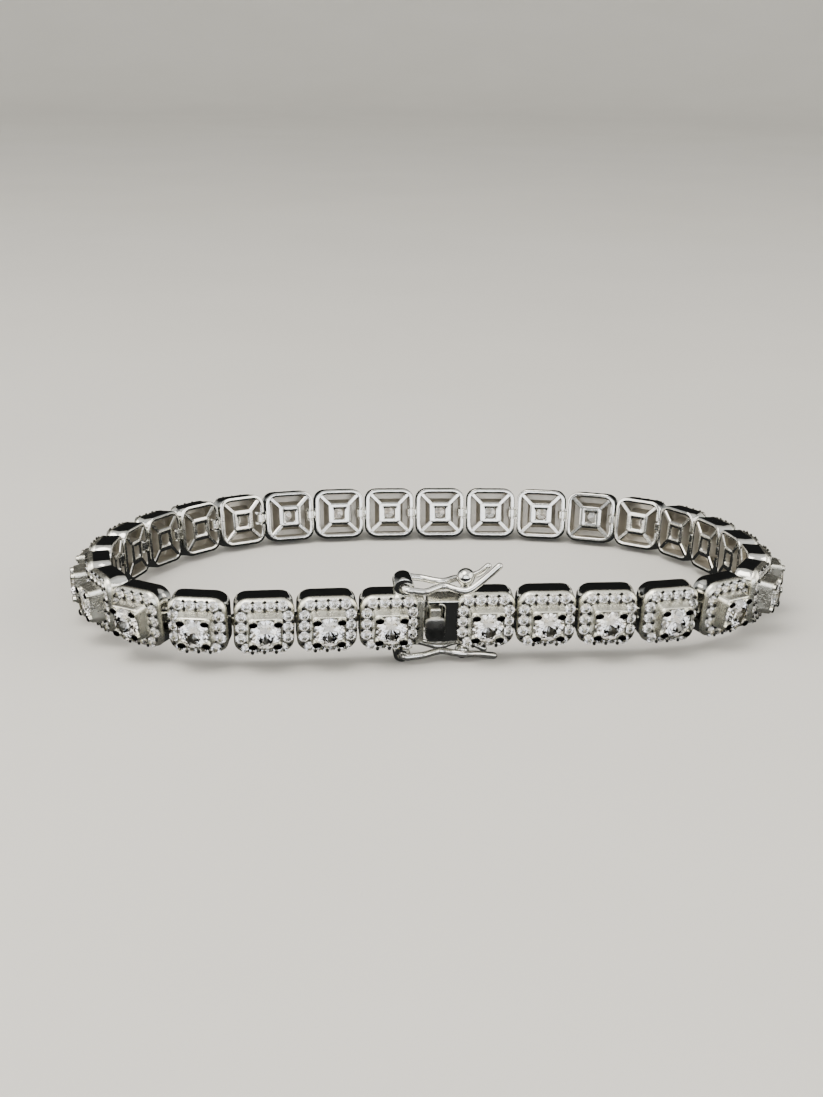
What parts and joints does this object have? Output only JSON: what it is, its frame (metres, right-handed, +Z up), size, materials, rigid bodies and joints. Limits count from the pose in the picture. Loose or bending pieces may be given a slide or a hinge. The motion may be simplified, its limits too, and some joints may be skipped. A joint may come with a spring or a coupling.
{
  "type": "tennis bracelet",
  "caption": "Flexible bracelet of square halo links with round cut stones, closed by a box clasp with two wire safety latches.",
  "frame": {"origin": "centre of the bounding box's underside: the surface that the bracelet rests on", "axes": "+X along the oval's long way, left to right seen from the clasp's side; +Y away from the clasp across the oval; +Z up, out of the ring"},
  "size_m": [0.0728, 0.05, 0.01],
  "materials": {
    "polished_silver": "rhodium-plated sterling silver, mirror polished",
    "latch_wire": "drawn silver wire, mirror polished",
    "clear_stone": "clear cut cubic zirconia"
  },
  "bodies": {
    "chain": {"link_01_clasp_box": "polished_silver", "link_02": "polished_silver", "link_03": "polished_silver", "link_04": "polished_silver", "link_05": "polished_silver", "link_06": "polished_silver", "link_07": "polished_silver", "link_08": "polished_silver", "link_09": "polished_silver", "link_10": "polished_silver", "link_11": "polished_silver", "link_12": "polished_silver", "link_13": "polished_silver", "link_14": "polished_silver", "link_15": "polished_silver", "link_16": "polished_silver", "link_17": "polished_silver", "link_18": "polished_silver", "link_19": "polished_silver", "link_20": "polished_silver", "link_21": "polished_silver", "link_22": "polished_silver", "link_23": "polished_silver", "link_24": "polished_silver", "link_25": "polished_silver", "link_26": "polished_silver", "link_27": "polished_silver", "link_28": "polished_silver", "link_29": "polished_silver", "link_30_clasp_tongue": "polished_silver"},
    "upper_latch": {"safety_latch_upper": "latch_wire"},
    "lower_latch": {"safety_latch_lower": "latch_wire"}
  },
  "joints": [
    {"name": "upper_latch_swing", "type": "hinge", "parent": "chain", "child": "upper_latch", "pos_m": [-0.00291, -0.0207, 0.00805], "axis": [0.1045, -0.9812, -0.1625], "range_deg": [0, 120]},
    {"name": "lower_latch_swing", "type": "hinge", "parent": "chain", "child": "lower_latch", "pos_m": [-0.00306, -0.01955, 0.00101], "axis": [-0.1045, 0.9812, 0.1625], "range_deg": [0, 120]}
  ]
}
